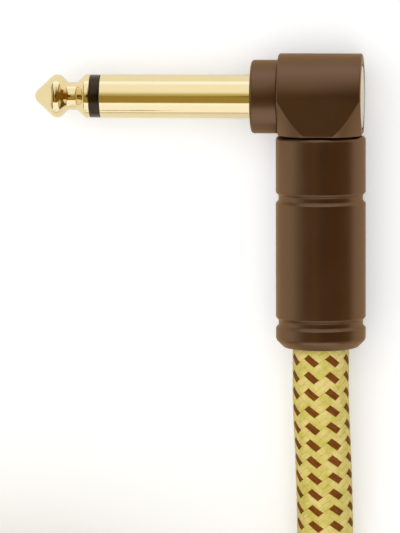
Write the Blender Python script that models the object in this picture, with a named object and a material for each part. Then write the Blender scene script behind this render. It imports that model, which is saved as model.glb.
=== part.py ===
"""An instrument cable, lying on a table.

A right-angle phone plug, three metres of woven-covered cable wound into a coil, and a
straight phone plug of the same family on the far end. Each plug is an assembly: tip and
sleeve contacts with their insulators, a shoulder collar, a housing with a threaded
spigot, terminals, a liner, a cable chuck and a screw-on barrel.

Distances on a contact pin run back from its tip. Distances on a barrel axis run from the
crossing of the two axes towards the cable.
"""

import math

import bmesh
import bpy
import numpy as np
from mathutils import Matrix, Vector

MM = 0.001

# Fits
SEAT_GAP = 0.3 * MM  # between pieces that seat on, or pass through, each other
THREAD_GAP = 0.3 * MM  # between the spigot's thread and the barrel's
CABLE_GAP = 0.45 * MM  # round the cable in the mouth of a barrel
CUTTER_MARGIN = 1.0 * MM  # how far a cutter runs past what it cuts

# Contact pin, alike on both plugs
PIN_DIAMETER = 6.35 * MM
PIN_LENGTH = 31.75 * MM  # tip to shoulder
NOSE_FLAT_DIAMETER = 1.05 * MM  # the rounded point's flat, before it is rounded
NOSE_ROUND = 1.2 * MM
CROWN_CORNER_DIAMETER = 7.22 * MM  # where the crown's two cones would meet
CROWN_AT = 3.36 * MM
CROWN_ROUND = 1.2 * MM
NECK_DIAMETER = 4.04 * MM
NECK_START = 4.88 * MM
NECK_END = 6.27 * MM
NECK_ROUND = 0.5 * MM
TIP_SHOULDER = 7.45 * MM
TIP_SHOULDER_ROUND = 0.35 * MM
TIP_LENGTH = 8.25 * MM
RING_LENGTH = 0.8 * MM
ROD_DIAMETER = 2.0 * MM
INSULATOR_WALL = 0.5 * MM
SLEEVE_FLANGE_STEP = 0.625 * MM  # how far it stands out from the pin
SLEEVE_FLANGE_LENGTH = 1.1 * MM
GROUND_PLATE = 0.6 * MM
WASHER_DIAMETER = 5.4 * MM
WASHER_LENGTH = 0.7 * MM
TIP_PLATE = 0.6 * MM
RIVET_DIAMETER = 3.4 * MM
RIVET_LENGTH = 0.6 * MM

# Shoulder collar
COLLAR_DIAMETER = 10.7 * MM
COLLAR_LENGTH = 3.65 * MM
COLLAR_ROUND = 0.45 * MM

# Head of the angled plug, an arch along the pin
HEAD_LENGTH = 12.2 * MM
HEAD_THICKNESS = 12.6 * MM
HEAD_FOOT = 5.55 * MM  # from the pin's axis to the face that meets the barrel
HEAD_EDGE = 0.3 * MM
GROUND_TO_AXIS = 2.2 * MM  # from the ground terminal's face to the barrel's axis
CORNER_CONE_GROWTH = 0.40  # radius that the corners' cone gains per length from the barrel
CAP_DIAMETER = 9.34 * MM
CAP_LENGTH = 1.4 * MM
CAP_LEDGE = 0.27 * MM  # between the cap's edge and the cavity under it
CAP_EDGE = 0.35 * MM
CAP_DOME = 0.15 * MM

# Threaded spigot, and the straight plug's body
SPIGOT_LENGTH = 8.05 * MM  # from the face that meets the barrel
BODY_FLANGE_LENGTH = 1.2 * MM

# Barrel
BARREL_DIAMETER = 13.1 * MM
BARREL_WALL = 1.15 * MM
BARREL_LENGTH = 30.75 * MM
BARREL_TOP_ROUND = 0.9 * MM
BARREL_MOUTH_LENGTH = 5.0 * MM
BARREL_CHAMFER_WIDTH = 1.2 * MM
BARREL_CHAMFER_LENGTH = 1.2 * MM
BARREL_CHAMFER_ROUND = 0.7 * MM
GROOVE_WIDTH = 1.6 * MM
GROOVE_DEPTH = 0.4 * MM
UPPER_GROOVE_AT = 8.8 * MM  # from the barrel's top to the groove's middle
LOWER_GROOVE_AT = 3.7 * MM  # from the barrel's mouth to the groove's middle

# Inside the barrel
LINER_WALL = 0.6 * MM
CHUCK_WALL = 0.7 * MM
CHUCK_LENGTH = 6.5 * MM
CHUCK_SLOT = 0.9 * MM
CHUCK_RING_LENGTH = 1.8 * MM
CORE_DIAMETER = 1.0 * MM
CORE_INSULATION_WALL = 0.4 * MM
SHIELD_WALL = 0.4 * MM
JACKET_WALL = 0.8 * MM
CORE_SHOWN = 0.35 * MM  # straight core, past the straight plug's rivet
WIRE_BEND = 2.2 * MM  # the length in which a wire moves over to its terminal
INSULATION_SHOWN = 1.5 * MM
SHIELD_SHOWN = 2.0 * MM
PIGTAIL_DIAMETER = 1.2 * MM
TONGUE_WIDTH = 2.4 * MM
TIP_TONGUE_SETBACK = 1.3 * MM  # from the core's bend, on the angled plug
WIRE_LAP = 4.5 * MM  # how far a wire lies along its tongue, on the angled plug
STRAIGHT_GROUND_TONGUE = 6.0 * MM  # from the plate

# Cable
COVER_START = 27.0 * MM  # where the woven cover starts, on a barrel axis
ROUTE_STEP = 18.0 * MM

# Coil
COIL_DISTANCE = 125.8 * MM  # from the crossing of the angled plug's axes
COIL_OUTER_RADIUS = 55.1 * MM  # to the cable's middle
COIL_TURN_GAP = 0.8 * MM
COIL_LAYER_GAP = 0.6 * MM
COIL_LAYERS = 4
COIL_TURNS = 9.75
COIL_CLIMB = 0.5  # turns, centred on each reversal
COIL_POINTS = 24  # on each turn

# How finely round pieces are cut
FINE_STEPS = 32
PIN_STEPS = 24
SMALL_STEPS = 16
ARCH_STEPS = 16
FILLET_STEPS = 3
SHARP_ANGLE = math.radians(30)
WELD = 1e-7
AXIS_MARK = 5.0 * MM  # how large an axis is drawn

# The straight plug lies on the coil, with its tip towards -X
STRAIGHT_MOUTH = (8.8 * MM, -40.0 * MM)  # from the coil's middle

# Worked out from the sizes above: pin
PIN_RADIUS = PIN_DIAMETER / 2
ROD_RADIUS = ROD_DIAMETER / 2
WASHER_RADIUS = WASHER_DIAMETER / 2
INSULATOR_BORE_RADIUS = ROD_RADIUS + SEAT_GAP
INSULATOR_TUBE_RADIUS = INSULATOR_BORE_RADIUS + INSULATOR_WALL
SLEEVE_BORE_RADIUS = INSULATOR_TUBE_RADIUS + SEAT_GAP
SLEEVE_FLANGE_RADIUS = PIN_RADIUS + SLEEVE_FLANGE_STEP
PIN_HOLE_RADIUS = PIN_RADIUS + SEAT_GAP
RING_START = TIP_LENGTH + SEAT_GAP
SLEEVE_START = RING_START + RING_LENGTH + SEAT_GAP
COLLAR_END = PIN_LENGTH + COLLAR_LENGTH
HOUSING_START = COLLAR_END + SEAT_GAP
CROSSING_AT = HOUSING_START + HEAD_LENGTH / 2  # the angled plug's crossing, from its tip

# What is stacked on the pin behind the front wall
GROUND_START = CROSSING_AT - GROUND_TO_AXIS
GROUND_END = GROUND_START + GROUND_PLATE
FLANGE_END = GROUND_START - SEAT_GAP
FLANGE_START = FLANGE_END - SLEEVE_FLANGE_LENGTH
FRONT_WALL_END = FLANGE_START - SEAT_GAP
WASHER_START = GROUND_END + SEAT_GAP
WASHER_END = WASHER_START + WASHER_LENGTH
TIP_PLATE_START = WASHER_END + SEAT_GAP
TIP_PLATE_END = TIP_PLATE_START + TIP_PLATE
RIVET_START = TIP_PLATE_END + SEAT_GAP
RIVET_END = RIVET_START + RIVET_LENGTH

# Barrel, and what fits in it
BARREL_RADIUS = BARREL_DIAMETER / 2
BARREL_BORE_RADIUS = BARREL_RADIUS - BARREL_WALL
INSERT_RADIUS = BARREL_BORE_RADIUS - SEAT_GAP  # of the liner and the chuck
CHUCK_BORE_RADIUS = INSERT_RADIUS - CHUCK_WALL
CABLE_RADIUS = CHUCK_BORE_RADIUS - SEAT_GAP
CABLE_DIAMETER = 2 * CABLE_RADIUS
SPIGOT_RADIUS = BARREL_BORE_RADIUS - THREAD_GAP
SPIGOT_BORE_RADIUS = SLEEVE_FLANGE_RADIUS + SEAT_GAP
SPIGOT_END = HEAD_FOOT + SPIGOT_LENGTH
CAVITY_RADIUS = CAP_DIAMETER / 2 - CAP_LEDGE
BARREL_START = HEAD_FOOT + SEAT_GAP
BARREL_END = BARREL_START + BARREL_LENGTH
MOUTH_START = BARREL_END - BARREL_MOUTH_LENGTH
MOUTH_RADIUS = CABLE_RADIUS + CABLE_GAP
CHUCK_END = MOUTH_START - SEAT_GAP
CHUCK_START = CHUCK_END - CHUCK_LENGTH
LINER_START = SPIGOT_END + SEAT_GAP
LINER_END = CHUCK_START - SEAT_GAP

# The straight plug's barrel axis counts from where its barrel sits as the angled one does
BODY_FLANGE_END = HOUSING_START + BODY_FLANGE_LENGTH
STRAIGHT_CROSSING_AT = BODY_FLANGE_END - HEAD_FOOT

# Layers of the cable, and where each is cut back to on a barrel axis
CORE_RADIUS = CORE_DIAMETER / 2
CORE_INSULATION_BORE = CORE_RADIUS + SEAT_GAP
CORE_INSULATION_RADIUS = CORE_INSULATION_BORE + CORE_INSULATION_WALL
SHIELD_BORE = CORE_INSULATION_RADIUS + SEAT_GAP
SHIELD_RADIUS = SHIELD_BORE + SHIELD_WALL
JACKET_BORE = SHIELD_RADIUS + SEAT_GAP
JACKET_RADIUS = JACKET_BORE + JACKET_WALL
PIGTAIL_RADIUS = PIGTAIL_DIAMETER / 2
STRAIGHT_WIRES_TO = RIVET_END + SEAT_GAP - STRAIGHT_CROSSING_AT
BEND_END = STRAIGHT_WIRES_TO + CORE_SHOWN
INSULATION_START = BEND_END + WIRE_BEND
SHIELD_START = INSULATION_START + INSULATION_SHOWN
JACKET_START = SHIELD_START + SHIELD_SHOWN
STUB_END = COVER_START - SEAT_GAP

# Tongues of the terminals
ANGLE_TIP_TONGUE = BEND_END - TIP_TONGUE_SETBACK  # from the pin's axis
ANGLE_GROUND_TONGUE = BEND_END - SEAT_GAP
STRAIGHT_TIP_TONGUE = JACKET_START - SEAT_GAP + STRAIGHT_CROSSING_AT - TIP_PLATE_END
STRAIGHT_TIP_OFFSET = SHIELD_RADIUS + SEAT_GAP  # from the axis to the tongue's inner face
STRAIGHT_GROUND_OFFSET = WASHER_RADIUS + SEAT_GAP

# Places
CROSSING = Vector(
    (
        (CROSSING_AT - HEAD_LENGTH / 2 - CAP_DOME) / 2,
        (BARREL_END - HEAD_THICKNESS / 2) / 2,
        BARREL_RADIUS,
    )
)
COIL_TURN_PITCH = CABLE_DIAMETER + COIL_TURN_GAP
COIL_LAYER_PITCH = CABLE_DIAMETER + COIL_LAYER_GAP
COIL_MIDDLE = Vector((CROSSING.x - COIL_OUTER_RADIUS, CROSSING.y - COIL_DISTANCE, 0))
COIL_TOP = CABLE_RADIUS + (COIL_LAYERS - 1) * COIL_LAYER_PITCH
STRAIGHT_RISE = CABLE_RADIUS + SEAT_GAP + BARREL_RADIUS  # over the middle of the top layer
STRAIGHT_LENGTH = STRAIGHT_CROSSING_AT + BARREL_END
STRAIGHT_TIP = COIL_MIDDLE + Vector(
    (STRAIGHT_MOUTH[0] - STRAIGHT_LENGTH, STRAIGHT_MOUTH[1], COIL_TOP + STRAIGHT_RISE)
)

# Routes of the cable's two free stretches, in metres: the lead's from the crossing of the
# angled plug's axes, the tail's from the middle of the coil's top layer
LEAD_ROUTE = (
    (0.0, -COVER_START, 0.0),
    (0.0, -0.0360, 0.0),
    (0.0, -0.0445, -0.00003),
    (0.0003, -0.0525, -0.00043),
    (0.0005, -0.0620, -0.00135),
    (0.0005, -0.0730, -0.00210),
    (0.0003, -0.0880, -0.00237),
    (0.0, -0.1040, -0.00243),
    (0.0, -COIL_DISTANCE + CABLE_DIAMETER + SEAT_GAP, CABLE_RADIUS - BARREL_RADIUS),
)
TAIL_ROUTE = (
    (CABLE_DIAMETER + SEAT_GAP, COIL_OUTER_RADIUS, 0.0),
    (0.0167, 0.0551, 0.0001),
    (0.0320, 0.0500, 0.0016),
    (0.0448, 0.0380, 0.0038),
    (0.0522, 0.0220, 0.0060),
    (0.0545, 0.0040, 0.0077),
    (0.0522, -0.0150, 0.0088),
    (0.0440, -0.0300, 0.0096),
    (0.0320, -0.0380, 0.0104),
    (0.0200, STRAIGHT_MOUTH[1], 0.0109),
    (*STRAIGHT_MOUTH, STRAIGHT_RISE),
    (STRAIGHT_MOUTH[0] - BARREL_END + COVER_START, STRAIGHT_MOUTH[1], STRAIGHT_RISE),
)

# Colours as seen on the object: red, green, blue
GOLD = (0.90, 0.70, 0.34)
BRASS = (0.72, 0.52, 0.24)
BROWN = (0.105, 0.052, 0.026)
DARK_BROWN = (0.020, 0.012, 0.009)
BLACK = (0.012, 0.012, 0.013)
OFF_WHITE = (0.78, 0.76, 0.70)
COPPER = (0.70, 0.36, 0.20)
TWEED = (0.55, 0.40, 0.11)


def clear_scene():
    for obj in list(bpy.data.objects):
        bpy.data.objects.remove(obj, do_unlink=True)


def material(name, colour, roughness, metallic=0.0):
    found = bpy.data.materials.get(name)
    if found:
        return found
    made = bpy.data.materials.new(name)
    made.use_nodes = True
    shader = made.node_tree.nodes["Principled BSDF"]
    shader.inputs["Base Color"].default_value = (*colour, 1.0)
    shader.inputs["Roughness"].default_value = roughness
    shader.inputs["Metallic"].default_value = metallic
    made.diffuse_color = (*colour, 1.0)
    return made


def gold():
    return material("gold_plate", GOLD, 0.12, 1.0)


def brass():
    return material("bare_brass", BRASS, 0.30, 1.0)


def brown_satin():
    return material("brown_satin", BROWN, 0.42, 0.35)


def insulator_plastic():
    return material("insulator_plastic", DARK_BROWN, 0.35)


def black_plastic():
    return material("black_plastic", BLACK, 0.5)


def core_plastic():
    return material("core_plastic", OFF_WHITE, 0.45)


def copper():
    return material("copper_wire", COPPER, 0.35, 1.0)


def tweed():
    return material("tweed_cover", TWEED, 0.8)


def axis_empty(name, location, x_axis, z_axis):
    """An empty whose local Z runs along an axis of the object."""
    x_axis, z_axis = Vector(x_axis), Vector(z_axis)
    turn = Matrix((x_axis, z_axis.cross(x_axis), z_axis)).transposed()
    empty = bpy.data.objects.new(name, None)
    empty.empty_display_size = AXIS_MARK
    empty.matrix_world = Matrix.Translation(location) @ turn.to_4x4()
    bpy.context.scene.collection.objects.link(empty)
    return empty


def add_object(name, data, parent, finish):
    obj = bpy.data.objects.new(name, data)
    bpy.context.scene.collection.objects.link(obj)
    obj.parent = parent
    if finish:
        data.materials.append(finish)
    return obj


def mesh_object(name, bm, parent, finish):
    """Takes what bm holds as one closed body facing out, shaded smooth but for its edges."""
    bmesh.ops.remove_doubles(bm, verts=bm.verts[:], dist=WELD)
    bmesh.ops.recalc_face_normals(bm, faces=bm.faces[:])
    mesh = bpy.data.meshes.new(name)
    bm.to_mesh(mesh)
    bm.free()
    mesh.shade_smooth()
    mesh.set_sharp_from_angle(angle=SHARP_ANGLE)
    return add_object(name, mesh, parent, finish)


def rounded(corners):
    """The outline through the corners (x, y, radius), each rounded as far as its sides allow."""
    outline = []
    for i, (x, y, radius) in enumerate(corners):
        here = Vector((x, y))
        if radius == 0:
            outline.append(here)
            continue
        before, after = corners[i - 1], corners[(i + 1) % len(corners)]
        to_before = Vector(before[:2]) - here
        to_after = Vector(after[:2]) - here
        half = to_before.angle(to_after) / 2
        reach = min(
            radius / math.tan(half),
            to_before.length / (2 if before[2] else 1),
            to_after.length / (2 if after[2] else 1),
        )
        arc_radius = reach * math.tan(half)
        bisector = (to_before.normalized() + to_after.normalized()).normalized()
        centre = here + bisector * (arc_radius / math.sin(half))
        first = here + to_before.normalized() * reach - centre
        last = here + to_after.normalized() * reach - centre
        sweep = math.atan2(first.cross(last), first.dot(last))
        for step in range(FILLET_STEPS + 1):
            turn = Matrix.Rotation(sweep * step / FILLET_STEPS, 2)
            outline.append(centre + turn @ first)
    return [p for p, q in zip(outline, outline[1:] + outline[:1]) if (p - q).length > WELD]


def turned_mesh(corners, steps):
    """A turned shape: corners are (radius, distance along the axis, rounding)."""
    outline = rounded(corners)
    bm = bmesh.new()
    verts = [bm.verts.new((radius, 0, along)) for radius, along in outline]
    ring = min(radius for radius, _ in outline) > WELD
    ends = zip(verts, verts[1:] + verts[:1]) if ring else zip(verts, verts[1:])
    edges = [bm.edges.new(pair) for pair in ends]
    bmesh.ops.spin(
        bm,
        geom=verts + edges,
        cent=(0, 0, 0),
        axis=(0, 0, 1),
        angle=math.tau,
        steps=steps,
        use_merge=True,
    )
    return bm


def turned(name, corners, parent, finish, steps=SMALL_STEPS):
    return mesh_object(name, turned_mesh(corners, steps), parent, finish)


def tube(name, bore, radius, start, end, parent, finish, steps=SMALL_STEPS):
    corners = [(bore, start, 0), (radius, start, 0), (radius, end, 0), (bore, end, 0)]
    return turned(name, corners, parent, finish, steps)


def rod(name, radius, start, end, parent, finish, steps=SMALL_STEPS):
    corners = [(0, start, 0), (radius, start, 0), (radius, end, 0), (0, end, 0)]
    return turned(name, corners, parent, finish, steps)


def prism(name, outline, start, end, parent, finish):
    """The outline, in local X and Y, extruded along local Z from start to end."""
    bm = bmesh.new()
    face = bm.faces.new([bm.verts.new((x, y, start)) for x, y in outline])
    moved = bmesh.ops.extrude_face_region(bm, geom=[face])["geom"]
    top = [v for v in moved if isinstance(v, bmesh.types.BMVert)]
    bmesh.ops.translate(bm, verts=top, vec=(0, 0, end - start))
    return mesh_object(name, bm, parent, finish)


def box(name, x, y, z, parent, finish=None):
    """A block from its three (low, high) pairs."""
    outline = [(x[0], y[0]), (x[1], y[0]), (x[1], y[1]), (x[0], y[1])]
    return prism(name, outline, *z, parent, finish)


def helper(obj):
    obj.hide_render = True
    obj.display_type = "WIRE"
    return obj


def join(obj, other, operation):
    """Adds a Boolean with a helper, which the object keeps as a modifier."""
    modifier = obj.modifiers.new(f"{operation.lower()}_{other.name}", "BOOLEAN")
    modifier.operation = operation
    modifier.solver = "EXACT"
    modifier.object = helper(other)


def cut(obj, other):
    join(obj, other, "DIFFERENCE")


def smooth_route(points, step):
    """Points about a step apart on a smooth curve through the given ones."""
    points = np.array(points)
    padded = np.vstack((2 * points[0] - points[1], points, 2 * points[-1] - points[-2]))
    route = [points[0]]
    for before, start, end, after in zip(padded, padded[1:], padded[2:], padded[3:]):
        count = max(1, round(np.linalg.norm(end - start) / step))
        for t in np.arange(1, count + 1) / count:
            route.append(
                0.5
                * (
                    2 * start
                    + (end - before) * t
                    + (2 * before - 5 * start + 4 * end - after) * t**2
                    + (3 * start - before - 3 * end + after) * t**3
                )
            )
    return np.array(route)


def cable(name, points, diameter, sides, finish, parent=None):
    """A tube along the points, with closed ends. sides is 6 for a coil, 8 for a stretch."""
    curve = bpy.data.curves.new(name, "CURVE")
    curve.dimensions = "3D"
    curve.twist_mode = "Z_UP"
    curve.fill_mode = "FULL"
    curve.bevel_depth = diameter / 2
    curve.bevel_resolution = sides // 2 - 2
    curve.use_fill_caps = True
    spline = curve.splines.new("POLY")
    spline.points.add(len(points) - 1)
    for point, place in zip(spline.points, points):
        point.co = (*place, 1)
        point.tilt = math.pi / sides if sides % 4 else 0  # a corner points down
    spline.use_smooth = True
    return add_object(name, curve, parent, finish)


def tip_contact(prefix, pin):
    """The tip, with the rod that runs back through the sleeve and is riveted behind."""
    corners = [
        (0, 0, 0),
        (NOSE_FLAT_DIAMETER / 2, 0, NOSE_ROUND),
        (CROWN_CORNER_DIAMETER / 2, CROWN_AT, CROWN_ROUND),
        (NECK_DIAMETER / 2, NECK_START, NECK_ROUND),
        (NECK_DIAMETER / 2, NECK_END, NECK_ROUND),
        (PIN_RADIUS, TIP_SHOULDER, TIP_SHOULDER_ROUND),
        (PIN_RADIUS, TIP_LENGTH, 0),
        (ROD_RADIUS, TIP_LENGTH, 0),
        (ROD_RADIUS, RIVET_START, 0),
        (RIVET_DIAMETER / 2, RIVET_START, 0),
        (RIVET_DIAMETER / 2, RIVET_END, 0),
        (0, RIVET_END, 0),
    ]
    turned(prefix + "tip_contact", corners, pin, gold(), PIN_STEPS)


def tip_insulator(prefix, pin):
    """The ring between tip and sleeve, with the tube that lines the sleeve."""
    corners = [
        (INSULATOR_BORE_RADIUS, RING_START, 0),
        (PIN_RADIUS, RING_START, 0),
        (PIN_RADIUS, RING_START + RING_LENGTH, 0),
        (INSULATOR_TUBE_RADIUS, RING_START + RING_LENGTH, 0),
        (INSULATOR_TUBE_RADIUS, GROUND_END, 0),
        (INSULATOR_BORE_RADIUS, GROUND_END, 0),
    ]
    turned(prefix + "tip_insulator", corners, pin, insulator_plastic(), PIN_STEPS)


def sleeve_contact(prefix, pin):
    """The sleeve, with the flange that holds it in the housing."""
    corners = [
        (SLEEVE_BORE_RADIUS, SLEEVE_START, 0),
        (PIN_RADIUS, SLEEVE_START, 0),
        (PIN_RADIUS, FLANGE_START, 0),
        (SLEEVE_FLANGE_RADIUS, FLANGE_START, 0),
        (SLEEVE_FLANGE_RADIUS, FLANGE_END, 0),
        (SLEEVE_BORE_RADIUS, FLANGE_END, 0),
    ]
    turned(prefix + "sleeve_contact", corners, pin, gold(), PIN_STEPS)


def front_collar(prefix, pin):
    """The shoulder that stops at the jack's nut."""
    corners = [
        (PIN_HOLE_RADIUS, PIN_LENGTH, 0),
        (COLLAR_DIAMETER / 2, PIN_LENGTH, COLLAR_ROUND),
        (COLLAR_DIAMETER / 2, COLLAR_END, 0),
        (PIN_HOLE_RADIUS, COLLAR_END, 0),
    ]
    turned(prefix + "front_collar", corners, pin, brown_satin(), FINE_STEPS)


def insulating_washer(prefix, pin):
    tube(
        prefix + "insulating_washer",
        ROD_RADIUS + SEAT_GAP,
        WASHER_RADIUS,
        WASHER_START,
        WASHER_END,
        pin,
        insulator_plastic(),
    )


def contact_pin(prefix, pin):
    """The pieces that both plugs have alike in front of and on the pin."""
    tip_contact(prefix, pin)
    tip_insulator(prefix, pin)
    sleeve_contact(prefix, pin)
    front_collar(prefix, pin)
    insulating_washer(prefix, pin)


def flat_terminal(name, bore, radius, reach, start, end, pin):
    """A stamped ring on the pin with a tongue in its plane, along local X."""
    half = TONGUE_WIDTH / 2
    corner = math.asin(half / radius)
    arc = np.linspace(corner, math.tau - corner, SMALL_STEPS)
    outline = [(radius * math.cos(a), radius * math.sin(a)) for a in arc]
    outline += [(reach, -half), (reach, half)]
    plate = prism(name, outline, start, end, pin, brass())
    hole = rod(name + "_hole", bore, start - CUTTER_MARGIN, end + CUTTER_MARGIN, pin, None)
    cut(plate, hole)


def bent_terminal(name, bore, side, offset, reach, start, end, pin):
    """A stamped ring on the pin with a tongue bent back along it, on the given side."""
    thickness = end - start
    half = TONGUE_WIDTH / 2
    ring = tube(name, bore, offset + thickness / 2, start, end, pin, brass())
    across = sorted((side * offset, side * (offset + thickness)))
    tongue = box(name + "_tongue", across, (-half, half), (start, end + reach), pin)
    join(ring, tongue, "UNION")


def head_housing(pin, barrel_axis):
    """The arch-shaped head with its corners trimmed, bored for pin, cap and cable."""
    half = HEAD_THICKNESS / 2
    angles = np.linspace(0, math.pi, ARCH_STEPS + 1)
    outline = [(-half * math.sin(a), half * math.cos(a)) for a in angles]
    outline += [(HEAD_FOOT, -half), (HEAD_FOOT, half)]
    start, end = HOUSING_START, HOUSING_START + HEAD_LENGTH
    head = prism("angle_head_housing", outline, start, end, pin, brown_satin())
    edge = head.modifiers.new("edge_rounding", "BEVEL")
    edge.width = HEAD_EDGE
    edge.segments = 2
    edge.limit_method = "ANGLE"
    edge.angle_limit = SHARP_ANGLE

    tall = HEAD_FOOT + half + 2 * CUTTER_MARGIN
    far = HEAD_FOOT - tall
    near = HEAD_FOOT + CUTTER_MARGIN
    cone = [
        (0, far, 0),
        (BARREL_RADIUS + CORNER_CONE_GROWTH * tall, far, 0),
        (BARREL_RADIUS - CORNER_CONE_GROWTH * CUTTER_MARGIN, near, 0),
        (0, near, 0),
    ]
    join(head, turned("corner_cone", cone, barrel_axis, None, FINE_STEPS), "INTERSECT")

    spigot_root = HEAD_FOOT - CUTTER_MARGIN
    spigot = rod(
        "spigot", SPIGOT_RADIUS, spigot_root, SPIGOT_END, barrel_axis, None, FINE_STEPS
    )
    join(head, spigot, "UNION")

    cavity_end = end + CUTTER_MARGIN
    cavity = rod(
        "head_cavity", CAVITY_RADIUS, FRONT_WALL_END, cavity_end, pin, None, PIN_STEPS
    )
    cut(head, cavity)
    seat_floor = end - CAP_LENGTH - SEAT_GAP
    seat = rod(
        "cap_seat",
        CAP_DIAMETER / 2 + SEAT_GAP,
        seat_floor,
        end + CUTTER_MARGIN,
        pin,
        None,
        FINE_STEPS,
    )
    cut(head, seat)
    pin_hole = rod(
        "pin_hole",
        PIN_HOLE_RADIUS,
        start - CUTTER_MARGIN,
        FRONT_WALL_END + CUTTER_MARGIN,
        pin,
        None,
        PIN_STEPS,
    )
    cut(head, pin_hole)
    cable_bore = rod(
        "cable_bore",
        SPIGOT_BORE_RADIUS,
        0,
        SPIGOT_END + CUTTER_MARGIN,
        barrel_axis,
        None,
        PIN_STEPS,
    )
    cut(head, cable_bore)


def rear_cap(pin):
    """The slightly domed disc pressed into the back of the head."""
    end = HOUSING_START + HEAD_LENGTH
    radius = CAP_DIAMETER / 2
    corners = [
        (0, end - CAP_LENGTH, 0),
        (radius, end - CAP_LENGTH, 0),
        (radius, end, CAP_EDGE),
        (radius / 2, end + CAP_DOME * 3 / 4, radius / 3),
        (0, end + CAP_DOME, 0),
    ]
    turned("angle_rear_cap", corners, pin, gold(), FINE_STEPS)


def straight_body(pin):
    """The straight plug's body: a flange, then the threaded spigot, bored like the head."""
    start = HOUSING_START
    spigot_end = STRAIGHT_CROSSING_AT + SPIGOT_END
    corners = [
        (PIN_HOLE_RADIUS, start, 0),
        (BARREL_RADIUS, start, HEAD_EDGE),
        (BARREL_RADIUS, BODY_FLANGE_END, HEAD_EDGE),
        (SPIGOT_RADIUS, BODY_FLANGE_END, 0),
        (SPIGOT_RADIUS, spigot_end, 0),
        (SPIGOT_BORE_RADIUS, spigot_end, 0),
        (SPIGOT_BORE_RADIUS, FRONT_WALL_END, 0),
        (PIN_HOLE_RADIUS, FRONT_WALL_END, 0),
    ]
    turned("straight_body", corners, pin, brown_satin(), FINE_STEPS)


def groove_corners(middle):
    """The corners of a groove in the barrel's side, on the way down."""
    low, high = middle - GROOVE_WIDTH / 2, middle + GROOVE_WIDTH / 2
    floor = BARREL_RADIUS - GROOVE_DEPTH
    return [
        (BARREL_RADIUS, low, 0),
        (floor, low, 0),
        (floor, high, 0),
        (BARREL_RADIUS, high, 0),
    ]


def barrel(prefix, axis):
    """The screw-on barrel, with two grooves and a chamfered mouth round the cable."""
    chamfer_start = BARREL_END - BARREL_CHAMFER_LENGTH
    chamfer_radius = BARREL_RADIUS - BARREL_CHAMFER_WIDTH
    corners = [
        (BARREL_BORE_RADIUS, BARREL_START, 0),
        (BARREL_RADIUS, BARREL_START, BARREL_TOP_ROUND),
        *groove_corners(BARREL_START + UPPER_GROOVE_AT),
        *groove_corners(BARREL_END - LOWER_GROOVE_AT),
        (BARREL_RADIUS, chamfer_start, 0),
        (chamfer_radius, BARREL_END, BARREL_CHAMFER_ROUND),
        (MOUTH_RADIUS, BARREL_END, 0),
        (MOUTH_RADIUS, MOUTH_START, 0),
        (BARREL_BORE_RADIUS, MOUTH_START, 0),
    ]
    turned(prefix + "barrel", corners, axis, brown_satin(), FINE_STEPS)


def liner(prefix, axis):
    """The insulating tube round the soldered ends."""
    tube(
        prefix + "liner",
        INSERT_RADIUS - LINER_WALL,
        INSERT_RADIUS,
        LINER_START,
        LINER_END,
        axis,
        black_plastic(),
        PIN_STEPS,
    )


def chuck(prefix, axis):
    """The slotted ring that the barrel presses onto the cable."""
    name = prefix + "cable_chuck"
    ring = tube(
        name,
        CHUCK_BORE_RADIUS,
        INSERT_RADIUS,
        CHUCK_START,
        CHUCK_END,
        axis,
        black_plastic(),
        PIN_STEPS,
    )
    wide = (-BARREL_RADIUS, BARREL_RADIUS)
    narrow = (-CHUCK_SLOT / 2, CHUCK_SLOT / 2)
    along = (CHUCK_START + CHUCK_RING_LENGTH, CHUCK_END + CUTTER_MARGIN)
    cut(ring, box(name + "_slot_a", wide, narrow, along, axis))
    cut(ring, box(name + "_slot_b", narrow, wide, along, axis))


def cable_end(prefix, axis):
    """The stripped layers of the cable inside a barrel: jacket, shield and core insulation."""
    layers = (
        ("jacket_end", JACKET_BORE, JACKET_RADIUS, JACKET_START, black_plastic()),
        ("shield_end", SHIELD_BORE, SHIELD_RADIUS, SHIELD_START, copper()),
        (
            "core_insulation",
            CORE_INSULATION_BORE,
            CORE_INSULATION_RADIUS,
            INSULATION_START,
            core_plastic(),
        ),
    )
    for name, bore, radius, start, finish in layers:
        tube(prefix + name, bore, radius, start, STUB_END, axis, finish)


def barrel_pieces(prefix, axis):
    barrel(prefix, axis)
    liner(prefix, axis)
    chuck(prefix, axis)
    cable_end(prefix, axis)


def wires(prefix, axis, core_offset, core_to, pigtail_offset, pigtail_to):
    """The core to the tip's terminal and the shield's pigtail to the ground's."""
    core = [(0, 0, STUB_END), (0, 0, INSULATION_START)]
    core += [(core_offset, 0, BEND_END), (core_offset, 0, core_to)]
    core_points = smooth_route(core, 2 * CORE_DIAMETER)
    cable(prefix + "core_wire", core_points, CORE_DIAMETER, 8, copper(), axis)

    start = SHIELD_START - SEAT_GAP
    beside = -(CORE_INSULATION_RADIUS + SEAT_GAP + PIGTAIL_RADIUS)
    pigtail = [(beside, 0, start), (beside, 0, start - PIGTAIL_RADIUS)]
    pigtail += [(pigtail_offset, 0, BEND_END), (pigtail_offset, 0, pigtail_to)]
    pigtail_points = smooth_route(pigtail, PIGTAIL_DIAMETER)
    cable(prefix + "shield_pigtail", pigtail_points, PIGTAIL_DIAMETER, 8, copper(), axis)


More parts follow.
